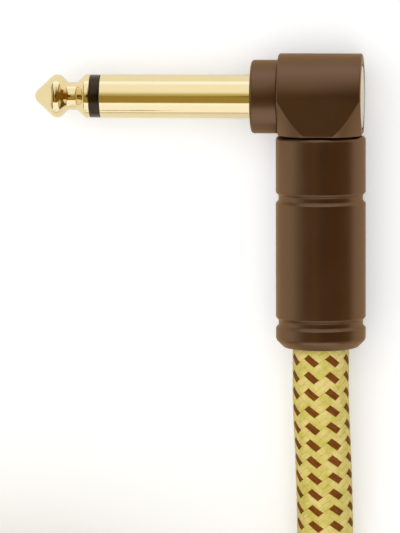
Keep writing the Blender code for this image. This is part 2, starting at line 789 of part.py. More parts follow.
def angle_plug():
    pin = axis_empty(
        "angle_pin_axis", CROSSING - Vector((CROSSING_AT, 0, 0)), (0, -1, 0), (1, 0, 0)
    )
    axis = axis_empty("angle_barrel_axis", CROSSING, (1, 0, 0), (0, -1, 0))
    contact_pin("angle_", pin)
    head_housing(pin, axis)
    rear_cap(pin)
    flat_terminal(
        "angle_ground_terminal",
        INSULATOR_TUBE_RADIUS + SEAT_GAP,
        SLEEVE_FLANGE_RADIUS,
        ANGLE_GROUND_TONGUE,
        GROUND_START,
        GROUND_END,
        pin,
    )
    flat_terminal(
        "angle_tip_terminal",
        ROD_RADIUS + SEAT_GAP,
        WASHER_RADIUS,
        ANGLE_TIP_TONGUE,
        TIP_PLATE_START,
        TIP_PLATE_END,
        pin,
    )
    barrel_pieces("angle_", axis)
    core_offset = TIP_PLATE_END - CROSSING_AT + SEAT_GAP + CORE_RADIUS
    core_to = ANGLE_TIP_TONGUE - WIRE_LAP
    pigtail_offset = -(GROUND_TO_AXIS + SEAT_GAP + PIGTAIL_RADIUS)
    pigtail_to = ANGLE_GROUND_TONGUE - WIRE_LAP
    wires("angle_", axis, core_offset, core_to, pigtail_offset, pigtail_to)


def straight_plug():
    pin = axis_empty("straight_pin_axis", STRAIGHT_TIP, (0, 0, 1), (1, 0, 0))
    axis = axis_empty(
        "straight_barrel_axis",
        STRAIGHT_TIP + Vector((STRAIGHT_CROSSING_AT, 0, 0)),
        (0, 0, 1),
        (1, 0, 0),
    )
    contact_pin("straight_", pin)
    straight_body(pin)
    bent_terminal(
        "straight_ground_terminal",
        INSULATOR_TUBE_RADIUS + SEAT_GAP,
        -1,
        STRAIGHT_GROUND_OFFSET,
        STRAIGHT_GROUND_TONGUE,
        GROUND_START,
        GROUND_END,
        pin,
    )
    bent_terminal(
        "straight_tip_terminal",
        ROD_RADIUS + SEAT_GAP,
        1,
        STRAIGHT_TIP_OFFSET,
        STRAIGHT_TIP_TONGUE,
        TIP_PLATE_START,
        TIP_PLATE_END,
        pin,
    )
    barrel_pieces("straight_", axis)
    core_offset = STRAIGHT_TIP_OFFSET - SEAT_GAP - CORE_RADIUS
    pigtail_offset = -(STRAIGHT_GROUND_OFFSET - SEAT_GAP - PIGTAIL_RADIUS)
    wires_to = STRAIGHT_WIRES_TO
    wires("straight_", axis, core_offset, wires_to, pigtail_offset, wires_to)


def rounded_reversal(turns_past):
    """The turns from a reversal, rounded off where the spiral turns back."""
    half = COIL_CLIMB / 2
    away = abs(turns_past)
    return away if away > half else (turns_past**2 + half**2) / (2 * half)


def coil_point(turn):
    """Where the coil's middle line is, so many turns from its start at +X, clockwise."""
    leg = COIL_TURNS / COIL_LAYERS
    nearest = min(max(round(turn / leg), 0), COIL_LAYERS)
    past = turn - nearest * leg
    inner_reversal = nearest % 2 == 1
    at_end = nearest in (0, COIL_LAYERS)
    away = abs(past) if at_end else rounded_reversal(past)
    inner_radius = COIL_OUTER_RADIUS - COIL_TURN_PITCH * leg
    if inner_reversal:
        radius = inner_radius + COIL_TURN_PITCH * away
    else:
        radius = COIL_OUTER_RADIUS - COIL_TURN_PITCH * away
    climbed = 0.0
    for reversal in range(1, COIL_LAYERS):
        part = (turn - reversal * leg) / COIL_CLIMB + 0.5
        part = min(max(part, 0.0), 1.0)
        climbed += part * part * (3 - 2 * part)
    height = CABLE_RADIUS + COIL_LAYER_PITCH * climbed
    angle = -math.tau * turn
    return COIL_MIDDLE + Vector((radius * math.cos(angle), radius * math.sin(angle), height))


def coil_points():
    """The loops, with a straight run of one diameter at either end."""
    count = round(COIL_TURNS * COIL_POINTS)
    loops = [coil_point(COIL_TURNS * i / count) for i in range(count + 1)]
    start = loops[0] + Vector((0, CABLE_DIAMETER, 0))
    end_angle = -math.tau * COIL_TURNS
    heading = Vector((math.sin(end_angle), -math.cos(end_angle), 0))
    return [start, *loops, loops[-1] + heading * CABLE_DIAMETER]


def least_gap(points, diameter):
    """The least clear space between stretches of a tube further than a half turn apart."""
    points = np.array(points)
    apart = COIL_POINTS // 2
    nearest = math.inf
    for i in range(len(points) - apart):
        others = points[i + apart :]
        starts, steps = others[:-1], others[1:] - others[:-1]
        along = ((points[i] - starts) * steps).sum(1) / (steps**2).sum(1)
        feet = starts + np.clip(along, 0, 1)[:, None] * steps
        if len(feet):
            nearest = min(nearest, np.linalg.norm(points[i] - feet, axis=1).min())
    return nearest - diameter


def route_length(points):
    return float(np.linalg.norm(np.diff(np.array(points), axis=0), axis=1).sum())


def cable_run():
    """Lead, coil and tail: one cable, in three stretches."""
    top_middle = COIL_MIDDLE + Vector((0, 0, COIL_TOP))
    lead_points = smooth_route([Vector(p) + CROSSING for p in LEAD_ROUTE], ROUTE_STEP)
    tail_points = smooth_route([Vector(p) + top_middle for p in TAIL_ROUTE], ROUTE_STEP)
    loops = coil_points()
    cable("cable_lead", lead_points, CABLE_DIAMETER, 8, tweed())
    cable("cable_coil", loops, CABLE_DIAMETER, 6, tweed())
    cable("cable_tail", tail_points, CABLE_DIAMETER, 8, tweed())
    whole = [*lead_points, *loops, *tail_points]
    print(f"coil to itself: {least_gap(loops, CABLE_DIAMETER) / MM:.2f} mm")
    print(f"whole cable to itself: {least_gap(whole, CABLE_DIAMETER) / MM:.2f} mm")
    print(f"cable between the plugs: {route_length(whole):.3f} m")


def main():
    clear_scene()
    angle_plug()
    straight_plug()
    cable_run()


main()
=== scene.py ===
"""How the instrument cable looks: gold-plated pins, brown satin shells and a woven cover.

Everything is in metres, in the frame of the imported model. A turned piece is drawn along Z
and then laid on its axis, so that its own distances read as they do on a lathe: those on a
pin run back from its tip, and those on a barrel run from the crossing of the two axes.
"""

import math

import bmesh
import bpy
import numpy as np
from mathutils import Matrix, Vector


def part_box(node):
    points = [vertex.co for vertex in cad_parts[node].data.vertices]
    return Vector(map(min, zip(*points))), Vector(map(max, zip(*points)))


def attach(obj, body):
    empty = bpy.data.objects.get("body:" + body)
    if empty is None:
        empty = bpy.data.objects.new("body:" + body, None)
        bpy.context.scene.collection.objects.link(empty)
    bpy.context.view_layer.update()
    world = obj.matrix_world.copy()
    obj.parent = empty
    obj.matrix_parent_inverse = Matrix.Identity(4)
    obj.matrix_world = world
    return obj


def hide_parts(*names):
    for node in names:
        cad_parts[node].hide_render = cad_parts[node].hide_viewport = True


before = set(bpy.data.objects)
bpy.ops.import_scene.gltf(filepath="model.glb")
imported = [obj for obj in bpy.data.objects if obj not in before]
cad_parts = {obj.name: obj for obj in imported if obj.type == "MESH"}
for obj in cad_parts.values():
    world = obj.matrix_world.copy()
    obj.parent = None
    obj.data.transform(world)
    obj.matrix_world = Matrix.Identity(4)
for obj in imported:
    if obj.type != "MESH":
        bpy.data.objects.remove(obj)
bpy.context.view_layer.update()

MM = 0.001

# How finely things are made
TURNED_STEPS = 128
FILLET_STEPS = 6
SMOOTH_ANGLE = math.radians(28)
WELD = 1e-7  # points this close are one point
SLIVER = 2e-6  # faces this thin are closed up after a cut

# Contact pin, from its tip
PIN_RADIUS = 3.175 * MM
PIN_LENGTH = 31.75 * MM
TIP_END = 8.19 * MM
RING_END = 9.72 * MM
RING_SINK = 0.04 * MM
PLATE_EDGE = 0.07 * MM
ROD_RADIUS = 1.0 * MM
RIVET_RADIUS = 1.7 * MM
RIVET_START = 42.4 * MM
RIVET_END = 43.0 * MM
INSULATOR_TUBE_RADIUS = 1.8 * MM
FLANGE_START = 38.2 * MM
FLANGE_END = 39.3 * MM
GROUND_END = 40.2 * MM
FLANGE_RADIUS = 3.8 * MM
SLEEVE_BORE_RADIUS = 2.1 * MM
RING_GAP = 0.03 * MM  # from the ring to the gold on either side of it

# Shells
COLLAR_RADIUS = 5.35 * MM
COLLAR_END = 35.69 * MM
COLLAR_ROUND = 0.45 * MM
HOUSING_START = 35.7 * MM
HEAD_LENGTH = 12.2 * MM
HEAD_HALF = 6.3 * MM
HEAD_FOOT = 5.55 * MM
CONE_GROWTH = 0.40
CAP_RADIUS = 4.67 * MM
CAP_LENGTH = 1.4 * MM
CAP_SEAT_RADIUS = 4.79 * MM
CAP_SEAT_DEPTH = 1.5 * MM
CAVITY_RADIUS = 4.4 * MM
EDGE_ROUND = 0.3 * MM
SPIGOT_RADIUS = 5.1 * MM
SPIGOT_BORE_RADIUS = 4.1 * MM
SPIGOT_END = 13.6 * MM
THREAD_PITCH = 1.0 * MM
THREAD_DEPTH = 0.5 * MM
BARREL_RADIUS = 6.55 * MM
BARREL_BORE_RADIUS = 5.4 * MM
BARREL_START = 5.71 * MM
BARREL_END = 36.6 * MM
MOUTH_START = 31.6 * MM
MOUTH_RADIUS = 4.55 * MM
UPPER_GROOVE = 14.65 * MM
LOWER_GROOVE = 32.9 * MM
GROOVE_DEPTH = 0.4 * MM
GROOVE_HALF = 0.80 * MM
GROOVE_FLOOR_HALF = 0.35 * MM
SEAT_GAP = 0.3 * MM  # round the pin and its rod, before its flange, under the straight plug

# Cable
CABLE_RADIUS = 4.1 * MM
COVER_START = 27.0 * MM
COIL_DISTANCE = 125.8 * MM
COIL_OUTER_RADIUS = 55.1 * MM
COIL_TURN_PITCH = 9.0 * MM
COIL_LAYER_PITCH = 8.8 * MM
COIL_LAYERS = 4
COIL_TURNS = 9.75
COIL_CLIMB = 0.5
COIL_POINTS = 144  # in each turn
STRAIGHT_MOUTH = (8.8 * MM, -40.0 * MM)  # of the straight barrel, from the coil's middle

# Where the two plugs are, from the frame
angle_barrel_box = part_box("angle_barrel")
angle_sleeve_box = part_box("angle_sleeve_contact")
CROSSING = Vector(
    (
        (angle_barrel_box[0].x + angle_barrel_box[1].x) / 2,
        (angle_sleeve_box[0].y + angle_sleeve_box[1].y) / 2,
        (angle_barrel_box[0].z + angle_barrel_box[1].z) / 2,
    )
)
CROSSING_AT = HOUSING_START + HEAD_LENGTH / 2
STRAIGHT_CROSSING_AT = 31.35 * MM  # where the straight barrel's own distances start
straight_barrel_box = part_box("straight_barrel")
STRAIGHT_TIP = Vector(
    (
        straight_barrel_box[1].x - BARREL_END - STRAIGHT_CROSSING_AT,
        (straight_barrel_box[0].y + straight_barrel_box[1].y) / 2,
        (straight_barrel_box[0].z + straight_barrel_box[1].z) / 2,
    )
)


def laid(place, x_axis, z_axis):
    """The matrix that lays a turned piece's X and Z along two directions of the frame."""
    x_axis, z_axis = Vector(x_axis), Vector(z_axis)
    turn = Matrix((x_axis, z_axis.cross(x_axis), z_axis)).transposed()
    return Matrix.Translation(place) @ turn.to_4x4()


ANGLE_PIN = laid(CROSSING - Vector((CROSSING_AT, 0, 0)), (0, -1, 0), (1, 0, 0))
ANGLE_BARREL = laid(CROSSING, (1, 0, 0), (0, -1, 0))
STRAIGHT_PIN = laid(STRAIGHT_TIP, (0, 0, 1), (1, 0, 0))
STRAIGHT_BARREL = laid(STRAIGHT_TIP + Vector((STRAIGHT_CROSSING_AT, 0, 0)), (0, 0, 1), (1, 0, 0))
ACROSS = laid(Vector((0, 0, CROSSING_AT)), (0, 0, 1), (1, 0, 0))  # for a barrel, from a pin


# ---- Modelling by hand -----------------------------------------------------------------


def deselect():
    bpy.ops.object.select_all(action="DESELECT")


def start_editing(piece):
    deselect()
    bpy.context.view_layer.objects.active = piece
    piece.select_set(True)
    bpy.ops.object.mode_set(mode="EDIT")


def stop_editing():
    bpy.ops.object.mode_set(mode="OBJECT")


def just_added(name):
    piece = bpy.context.active_object
    piece.name = piece.data.name = name
    return piece


def choose_points(piece, wanted):
    """In edit mode, selects the vertices whose place is wanted, and what lies between them."""
    bpy.ops.mesh.select_mode(type="VERT")
    bpy.ops.mesh.select_all(action="DESELECT")
    shape = bmesh.from_edit_mesh(piece.data)
    for point in shape.verts:
        point.select_set(bool(wanted(point.co)))
    shape.select_flush(True)
    bmesh.update_edit_mesh(piece.data)


def choose_edges(piece, wanted):
    """In edit mode, selects the edges whose two ends are wanted."""
    bpy.ops.mesh.select_mode(type="EDGE")
    bpy.ops.mesh.select_all(action="DESELECT")
    shape = bmesh.from_edit_mesh(piece.data)
    for edge in shape.edges:
        if wanted(edge.verts[0].co, edge.verts[1].co):
            edge.select_set(True)
    bmesh.update_edit_mesh(piece.data)


def near(place):
    return lambda point: (point - place).length < WELD


def smoothed(piece, angle=SMOOTH_ANGLE):
    deselect()
    bpy.context.view_layer.objects.active = piece
    piece.select_set(True)
    bpy.ops.object.shade_smooth_by_angle(angle=angle)
    return piece


def corner_reach(corners, i):
    """How far from corner i its rounding starts, as far as the sides beside it allow."""
    radius, along, rounding = corners[i]
    here = Vector((radius, along))
    before, after = corners[i - 1], corners[(i + 1) % len(corners)]
    to_before = Vector(before[:2]) - here
    to_after = Vector(after[:2]) - here
    half = to_before.angle(to_after) / 2
    return min(
        rounding / math.tan(half),
        to_before.length / (2.02 if before[2] else 1.01),
        to_after.length / (2.02 if after[2] else 1.01),
    )


def wire(name, places):
    """Draws a bent wire by extruding one point from place to place, and goes on editing it."""
    places = [Vector(place) for place in places]
    deselect()
    bpy.ops.mesh.primitive_plane_add(size=MM, location=(0, 0, 0))
    piece = just_added(name)
    bpy.ops.object.mode_set(mode="EDIT")
    bpy.ops.mesh.select_mode(type="VERT")
    bpy.ops.mesh.merge(type="CENTER")
    bpy.ops.transform.translate(value=places[0])
    for here, there in zip(places, places[1:]):
        bpy.ops.mesh.extrude_vertices_move(TRANSFORM_OT_translate={"value": there - here})
    return piece


def turned(name, corners, finish, steps=TURNED_STEPS):
    """A lathe piece along Z. Its corners are (radius, distance along, rounding)."""
    closed = min(radius for radius, _, _ in corners) > 0
    places = [Vector((radius, 0, along)) for radius, along, _ in corners]
    piece = wire(name, places)
    if closed:
        choose_points(piece, lambda p: near(places[0])(p) or near(places[-1])(p))
        bpy.ops.mesh.edge_face_add()
    for i, (place, corner) in enumerate(zip(places, corners)):
        if corner[2] > 0:
            choose_points(piece, near(place))
            bpy.ops.mesh.bevel(
                offset_type="OFFSET",
                offset=corner_reach(corners, i),
                segments=FILLET_STEPS,
                affect="VERTICES",
                clamp_overlap=False,
            )
    bpy.ops.mesh.select_all(action="SELECT")
    bpy.ops.mesh.spin(steps=steps, angle=math.tau, center=(0, 0, 0), axis=(0, 0, 1))
    bpy.ops.mesh.select_all(action="SELECT")
    bpy.ops.mesh.remove_doubles(threshold=WELD)
    bpy.ops.mesh.normals_make_consistent(inside=False)
    stop_editing()
    piece.data.materials.append(finish)
    return smoothed(piece)


def cylinder(name, radius, start, end, across=False):
    """A cutter along Z, or along X where it lies across."""
    middle = (start + end) / 2
    deselect()
    bpy.ops.mesh.primitive_cylinder_add(
        vertices=TURNED_STEPS,
        radius=radius,
        depth=end - start,
        location=(middle, 0, CROSSING_AT) if across else (0, 0, middle),
        rotation=(0, math.pi / 2, 0) if across else (0, 0, 0),
    )
    return just_added(name)


def shaped_by(piece, other, operation):
    """Cuts, joins or trims a piece with another, which is then thrown away."""
    deselect()
    bpy.context.view_layer.objects.active = piece
    piece.select_set(True)
    step = piece.modifiers.new("shape", "BOOLEAN")
    step.operation = operation
    step.solver = "EXACT"
    step.object = other
    bpy.ops.object.modifier_apply(modifier=step.name)
    bpy.data.objects.remove(other)
    start_editing(piece)
    bpy.ops.mesh.select_all(action="SELECT")
    bpy.ops.mesh.remove_doubles(threshold=SLIVER)
    bpy.ops.mesh.dissolve_degenerate(threshold=SLIVER)
    stop_editing()


def fitted(piece, name, axis, body, slot, *nodes):
    """Lays a copy of a piece on an axis, to ride a body and replace nodes of the frame."""
    copied = piece.copy()
    copied.data = piece.data.copy()
    copied.name = copied.data.name = name
    bpy.context.scene.collection.objects.link(copied)
    mesh = copied.data
    places = np.empty(3 * len(mesh.vertices), np.float32)
    mesh.vertices.foreach_get("co", places)
    as_turned = mesh.attributes.new("turned_place", "FLOAT_VECTOR", "POINT")
    as_turned.data.foreach_set("vector", places)
    copied.matrix_world = axis
    deselect()
    bpy.context.view_layer.objects.active = copied
    copied.select_set(True)
    bpy.ops.object.transform_apply(location=True, rotation=True, scale=True)
    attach(copied, body)
    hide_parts(*nodes)
    return copied


def used_up(piece):
    bpy.data.objects.remove(piece)


# ---- Finishes ---------------------------------------------------------------------------


def new_finish(name):
    finish = bpy.data.materials.new(name)
    finish.use_nodes = True
    return finish, finish.node_tree, finish.node_tree.nodes["Principled BSDF"]


def node(tree, kind, inputs=(), **settings):
    """Adds a node. inputs pairs its sockets with values, or with the sockets that feed them."""
    made = tree.nodes.new("ShaderNode" + kind)
    for key, value in settings.items():
        setattr(made, key, value)
    for key, value in dict(inputs).items():
        if isinstance(value, bpy.types.NodeSocket):
            tree.links.new(value, made.inputs[key])
        else:
            made.inputs[key].default_value = value
    return made


def maths(tree, operation, *values):
    return node(tree, "Math", enumerate(values), operation=operation).outputs[0]


def mixed(tree, factor, first, second):
    """Between two colours, or two sockets that give them."""
    made = node(tree, "Mix", {0: factor, 6: first, 7: second}, data_type="RGBA")
    return made.outputs[2]


def blended(tree, factor, first, second):
    """Between two numbers, or two sockets that give them."""
    return node(tree, "Mix", {0: factor, 2: first, 3: second}).outputs[0]


def turned_place(tree):
    """The place on a turned piece before it was laid on its axis."""
    return node(tree, "Attribute", attribute_name="turned_place").outputs["Vector"]


def lathe_place(tree, place):
    """The distance from a turned piece's axis and the distance along it, as one place."""
    parts = node(tree, "SeparateXYZ", {0: place}).outputs
    flat = node(tree, "CombineXYZ", {0: parts[0], 1: parts[1]}).outputs[0]
    radius = node(tree, "VectorMath", {0: flat}, operation="LENGTH").outputs["Value"]
    return node(tree, "CombineXYZ", {0: radius, 1: parts[2]}).outputs[0]


def noise(tree, place, scale, detail):
    made = node(tree, "TexNoise", {"Vector": place, "Scale": scale, "Detail": detail})
    return made.outputs[0]


def feed(tree, shader, shade, roughness, height=None, strength=0.0):
    """Joins a finish's colour, roughness and fine relief to its shader."""
    tree.links.new(shade, shader.inputs["Base Color"])
    tree.links.new(roughness, shader.inputs["Roughness"])
    if height is not None:
        bump = node(
            tree, "Bump", {"Strength": strength, "Distance": 0.02 * MM, "Height": height}
        )
        tree.links.new(bump.outputs[0], shader.inputs["Normal"])


def gold_plate():
    """Polished gold over brass, with faint marks left by the lathe."""
    finish, tree, shader = new_finish("gold_plate")
    place = turned_place(tree)
    marks = node(
        tree,
        "TexNoise",
        {"Vector": lathe_place(tree, place), "Scale": 9000.0, "Detail": 3.0, "Roughness": 0.6},
    )
    cloud = noise(tree, place, 260.0, 4.0)
    shade = mixed(tree, cloud, (0.82, 0.67, 0.355, 1), (0.88, 0.73, 0.405, 1))
    polish = node(tree, "MapRange", {0: cloud, 1: 0.3, 2: 0.7, 3: 0.075, 4: 0.125})
    feed(tree, shader, shade, polish.outputs[0], marks.outputs[0], 0.05)
    shader.inputs["Metallic"].default_value = 1.0
    return finish


def bare_brass():
    """Stamped brass, slightly tarnished in clouds."""
    finish, tree, shader = new_finish("bare_brass")
    cloud = noise(tree, node(tree, "TexCoord").outputs["Object"], 700.0, 5.0)
    shade = mixed(tree, cloud, (0.60, 0.40, 0.15, 1), (0.78, 0.57, 0.26, 1))
    dullness = node(tree, "MapRange", {0: cloud, 3: 0.22, 4: 0.42})
    feed(tree, shader, shade, dullness.outputs[0], cloud, 0.15)
    shader.inputs["Metallic"].default_value = 1.0
    return finish


def brown_satin():
    """A thin brown lacquer with a satin face, which lets the metal under it gleam through."""
    finish, tree, shader = new_finish("brown_satin")
    place = turned_place(tree)
    cloud = noise(tree, place, 180.0, 4.0)
    grain = noise(tree, place, 9000.0, 2.0)
    shade = mixed(tree, cloud, (0.156, 0.088, 0.046, 1), (0.176, 0.100, 0.055, 1))
    satin = node(tree, "MapRange", {0: cloud, 1: 0.3, 2: 0.7, 3: 0.33, 4: 0.39})
    feed(tree, shader, shade, satin.outputs[0], grain, 0.12)
    shader.inputs["Metallic"].default_value = 0.95
    shader.inputs["Specular Tint"].default_value = (1.0, 0.80, 0.60, 1)
    return finish


def plastic(name, dark, light, roughness, gleam=(1, 1, 1)):
    """Moulded plastic, with a slight unevenness of colour and polish."""
    finish, tree, shader = new_finish(name)
    place = node(tree, "TexCoord").outputs["Object"]
    cloud = noise(tree, place, 500.0, 4.0)
    grain = noise(tree, place, 6000.0, 2.0)
    gloss = node(tree, "MapRange", {0: cloud, 3: roughness - 0.05, 4: roughness + 0.05})
    shade = mixed(tree, cloud, (*dark, 1), (*light, 1))
    feed(tree, shader, shade, gloss.outputs[0], grain, 0.1)
    shader.inputs["Specular Tint"].default_value = (*gleam, 1)
    return finish


def copper_wire():
    """Bare copper, a little dull in clouds."""
    finish, tree, shader = new_finish("copper_wire")
    cloud = noise(tree, node(tree, "TexCoord").outputs["Object"], 900.0, 5.0)
    shade = mixed(tree, cloud, (0.62, 0.26, 0.13, 1), (0.80, 0.42, 0.25, 1))
    dullness = node(tree, "MapRange", {0: cloud, 3: 0.2, 4: 0.4})
    feed(tree, shader, shade, dullness.outputs[0])
    shader.inputs["Metallic"].default_value = 1.0
    return finish


STRANDS = 16  # each way round the cable
BRAID_TURN = 19.4 * MM  # the length in which a strand goes round once
OUT_PHASE = 0.51  # where the first strand of each way starts, in strands
BACK_PHASE = -1.57
WEAVE_REPEAT = 4  # in strands: two over and two under
ENDS_LOW = 0.55  # a strand's height where it dives under, its middle being 1
STRAND_SHARE = 0.96  # how much of its width a strand shows


def woven_strands(tree, round_, along):
    """The strands at a place on the cover, as weave_height has them.

    Gives the place counted in strands each way, whether the falling strand is on top, and
    the height of the surface.
    """
    falling = maths(tree, "SUBTRACT", along, round_)
    falling = maths(tree, "MULTIPLY_ADD", falling, STRANDS, OUT_PHASE)
    rising = maths(tree, "ADD", along, round_)
    rising = maths(tree, "MULTIPLY_ADD", rising, STRANDS, BACK_PHASE)
    falling_strand = maths(tree, "FLOOR", falling)
    rising_strand = maths(tree, "FLOOR", rising)
    apart = maths(tree, "SUBTRACT", rising_strand, falling_strand)
    apart = maths(tree, "FLOORED_MODULO", apart, WEAVE_REPEAT)
    on_top = maths(tree, "LESS_THAN", apart, 1.5)
    across = blended(
        tree, on_top, maths(tree, "FRACT", rising), maths(tree, "FRACT", falling)
    )
    floated = blended(
        tree,
        on_top,
        maths(tree, "ADD", maths(tree, "SUBTRACT", falling, rising_strand), WEAVE_REPEAT - 1),
        maths(tree, "SUBTRACT", rising, falling_strand),
    )
    floated = maths(tree, "FLOORED_MODULO", floated, WEAVE_REPEAT)
    hump = maths(tree, "SINE", maths(tree, "MULTIPLY", floated, math.pi / 2))
    hump = maths(tree, "MULTIPLY_ADD", hump, 1 - ENDS_LOW, ENDS_LOW)
    off_middle = maths(tree, "MULTIPLY_ADD", across, 2 * STRAND_SHARE, -STRAND_SHARE)
    fallen_away = maths(tree, "POWER", off_middle, 2.0)
    arch = maths(tree, "SQRT", maths(tree, "SUBTRACT", 1.0, fallen_away))
    return falling, rising, on_top, maths(tree, "MULTIPLY", hump, arch)


def multiplied(tree, first, second):
    """Two colours, each channel of one times that of the other."""
    made = node(
        tree, "Mix", {0: 1.0, 6: first, 7: second}, data_type="RGBA", blend_type="MULTIPLY"
    )
    return made.outputs[2]


def tweed_cover():
    """Strands woven two over and two under: all yellow one way, every other brown back."""
    finish, tree, shader = new_finish("tweed_cover")
    uv = node(tree, "UVMap", uv_map="weave").outputs[0]
    parts = node(tree, "SeparateXYZ", {0: uv}).outputs
    round_, along = parts[0], parts[1]
    falling, rising, on_top, height = woven_strands(tree, round_, along)

    fibre_across = blended(tree, on_top, rising, falling)
    fibre_along = blended(tree, on_top, falling, rising)
    fibre_place = node(
        tree,
        "CombineXYZ",
        {
            0: maths(tree, "MULTIPLY", fibre_across, 6.0),
            1: maths(tree, "MULTIPLY", fibre_along, 0.8),
            2: maths(tree, "MULTIPLY", on_top, 7.3),
        },
    ).outputs[0]
    fibres = node(
        tree, "TexNoise", {"Vector": fibre_place, "Scale": 1.0, "Detail": 3.0, "Roughness": 0.7}
    ).outputs[0]
    fibres = node(tree, "MapRange", {0: fibres, 1: 0.25, 2: 0.75}).outputs[0]
    angle = maths(tree, "MULTIPLY", round_, math.tau)
    drift_place = node(  # goes round the cable without a seam
        tree,
        "CombineXYZ",
        {
            0: maths(tree, "COSINE", angle),
            1: maths(tree, "SINE", angle),
            2: maths(tree, "MULTIPLY", along, BRAID_TURN / CABLE_RADIUS),
        },
    ).outputs[0]
    drift = noise(tree, drift_place, 2.4, 3.0)

    yellow = mixed(tree, fibres, (0.62, 0.50, 0.105, 1), (0.83, 0.70, 0.225, 1))
    brown = mixed(tree, fibres, (0.08, 0.020, 0.001, 1), (0.30, 0.085, 0.006, 1))
    odd = maths(tree, "FLOORED_MODULO", maths(tree, "FLOOR", falling), 2.0)
    is_brown = maths(tree, "MULTIPLY", on_top, maths(tree, "LESS_THAN", odd, 0.5))
    yarn = mixed(tree, is_brown, yellow, brown)
    # Painted shade: where the weave lies low, in the creases between strands, the yarn's colour
    # is darkened towards olive
    painted_crease_shade = node(tree, "MapRange", {0: height, 1: 0.10, 2: 0.50, 3: 0.45, 4: 1.0}).outputs[0]
    shade = multiplied(tree, yarn, mixed(tree, painted_crease_shade, (0.30, 0.32, 0.14, 1), (1, 1, 1, 1)))
    # Random patches of tone, partly painted light: their bluish cream end is a painted highlight
    # and their olive end painted shade
    light = node(tree, "MapRange", {0: drift, 1: 0.36, 2: 0.66}).outputs[0]
    tone_and_painted_light = mixed(tree, light, (0.88, 0.90, 0.68, 1), (1.12, 1.10, 1.40, 1))
    shade = multiplied(tree, shade, tone_and_painted_light)
    relief = maths(tree, "MULTIPLY_ADD", fibres, 0.25, height)
    bump = node(tree, "Bump", {"Strength": 0.5, "Distance": 0.00015, "Height": relief})
    tree.links.new(shade, shader.inputs["Base Color"])
    tree.links.new(bump.outputs[0], shader.inputs["Normal"])
    shader.inputs["Roughness"].default_value = 0.72
    shader.inputs["Specular IOR Level"].default_value = 0.15
    shader.inputs["Sheen Weight"].default_value = 0.04
    shader.inputs["Sheen Roughness"].default_value = 0.4
    return finish


GOLD = gold_plate()
BRASS = bare_brass()
BROWN = brown_satin()
INSULATOR = plastic(
    "insulator_plastic", (0.004, 0.002, 0.001), (0.008, 0.004, 0.002), 0.22, (1.0, 0.74, 0.46)
)
BLACK = plastic("black_plastic", (0.010, 0.010, 0.011), (0.018, 0.018, 0.019), 0.5)
CORE = plastic("core_plastic", (0.70, 0.67, 0.60), (0.80, 0.78, 0.73), 0.45)
COPPER = copper_wire()
TWEED = tweed_cover()
HEADS = "cable_and_heads"
PLUGS = (
    ("angle_", ANGLE_PIN, ANGLE_BARREL),
    ("straight_", STRAIGHT_PIN, STRAIGHT_BARREL),
)


# ---- Pins -------------------------------------------------------------------------------


def pin_tips():
    """The gold points, each with the rod behind it that is riveted inside the head."""
    tip = turned(
        "tip",
        [
            (0, 0, 0),
            (0.525 * MM, 0, 1.2 * MM),
            (3.61 * MM, 3.36 * MM, 1.2 * MM),
            (2.02 * MM, 4.88 * MM, 0.5 * MM),
            (2.02 * MM, 6.27 * MM, 0.5 * MM),
            (PIN_RADIUS, 7.45 * MM, 0.35 * MM),
            (PIN_RADIUS, TIP_END, PLATE_EDGE),
            (ROD_RADIUS, TIP_END, 0),
            (ROD_RADIUS, RIVET_START, 0),
            (RIVET_RADIUS, RIVET_START, 0),
            (RIVET_RADIUS, RIVET_END, 0.3 * MM),
            (0, RIVET_END, 0),
        ],
        GOLD,
    )
    for prefix, pin, _ in PLUGS:
        fitted(tip, prefix + "tip", pin, HEADS, "gold_plate", prefix + "tip_contact")
    used_up(tip)


def pin_rings():
    """The dark rings behind the tips, each with the tube that lines the sleeve."""
    radius = PIN_RADIUS - RING_SINK
    start, end = TIP_END + RING_GAP, RING_END - RING_GAP
    bore = ROD_RADIUS + SEAT_GAP
    ring = turned(
        "ring",
        [
            (bore, start, 0),
            (radius, start, 0.1 * MM),
            (radius, end, 0.1 * MM),
            (INSULATOR_TUBE_RADIUS, end, 0),
            (INSULATOR_TUBE_RADIUS, GROUND_END, 0),
            (bore, GROUND_END, 0),
        ],
        INSULATOR,
    )
    for prefix, pin, _ in PLUGS:
        fitted(
            ring, prefix + "ring", pin, HEADS, "insulator_plastic", prefix + "tip_insulator"
        )
    used_up(ring)


def pin_sleeves():
    """The gold sleeves, each with a flange inside the head."""
    sleeve = turned(
        "sleeve",
        [
            (SLEEVE_BORE_RADIUS, RING_END, 0),
            (PIN_RADIUS, RING_END, PLATE_EDGE),
            (PIN_RADIUS, FLANGE_START, 0),
            (FLANGE_RADIUS, FLANGE_START, 0.1 * MM),
            (FLANGE_RADIUS, FLANGE_END, 0.1 * MM),
            (SLEEVE_BORE_RADIUS, FLANGE_END, 0),
        ],
        GOLD,
    )
    for prefix, pin, _ in PLUGS:
        fitted(sleeve, prefix + "sleeve", pin, HEADS, "gold_plate", prefix + "sleeve_contact")
    used_up(sleeve)


def collars():
    """The brown shoulders that a jack's nut meets."""
    collar = turned(
        "collar",
        [
            (PIN_RADIUS + SEAT_GAP, PIN_LENGTH, 0),
            (COLLAR_RADIUS, PIN_LENGTH, COLLAR_ROUND),
            (COLLAR_RADIUS, COLLAR_END, COLLAR_ROUND / 3),
            (PIN_RADIUS + SEAT_GAP, COLLAR_END, 0),
        ],
        BROWN,
    )
    for prefix, pin, _ in PLUGS:
        fitted(collar, prefix + "collar", pin, HEADS, "brown_satin", prefix + "front_collar")
    used_up(collar)


# ---- Shells -----------------------------------------------------------------------------


